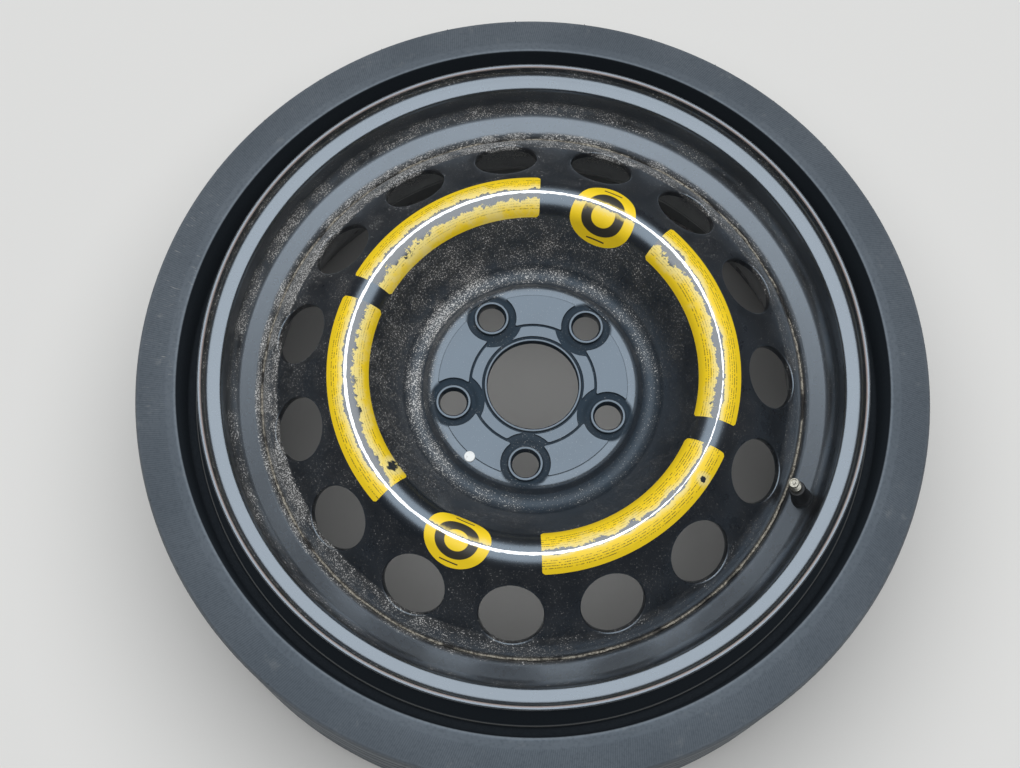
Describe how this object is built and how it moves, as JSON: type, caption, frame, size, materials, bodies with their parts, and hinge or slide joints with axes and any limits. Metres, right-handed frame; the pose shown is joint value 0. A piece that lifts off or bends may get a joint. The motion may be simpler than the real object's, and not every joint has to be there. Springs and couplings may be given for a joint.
{
  "type": "folding spare wheel",
  "caption": "Pressed-steel spare wheel with a folded, uninflated tyre, vented disc, bolt holes round a hub bore, a snap-in valve and plain yellow bands on the crown.",
  "frame": {"origin": "centre of the hub bore on the hub mounting face, at the back of the disc", "axes": "+Z along the wheel axis out of the outer face, +X through the tyre valve"},
  "size_m": [0.5539, 0.554, 0.1957],
  "materials": {
    "black_paint": "gloss black paint, dusty and worn to bare steel on the crown and lips",
    "yellow_film": "thin yellow film, scuffed",
    "tyre_rubber": "matt black rubber",
    "valve_rubber": "satin black rubber",
    "valve_brass": "dull plated brass",
    "valve_seal": "matt seal rubber",
    "spring_steel": "bright wire"
  },
  "bodies": {
    "wheel": {"rim": "black_paint", "wheel_disc": "black_paint", "weld_beads": "black_paint", "arc_labels": "yellow_film", "round_labels": "yellow_film", "tyre": "tyre_rubber", "valve_body": "valve_rubber", "valve_stem": "valve_brass", "core_plug": "valve_brass", "core_barrel": "valve_brass", "core_seal": "valve_seal", "core_spring": "spring_steel"},
    "valve_pin": {"core_pin": "valve_brass", "cup_seal": "valve_seal"}
  },
  "joints": [
    {"name": "valve_pin_press", "type": "slide", "parent": "wheel", "child": "valve_pin", "axis": [0.342, 0, -0.9397], "range_m": [0, 0.0012], "stiffness_N_per_m": 2000, "springref_m": -0.0007, "deforming": ["core_spring"]}
  ]
}
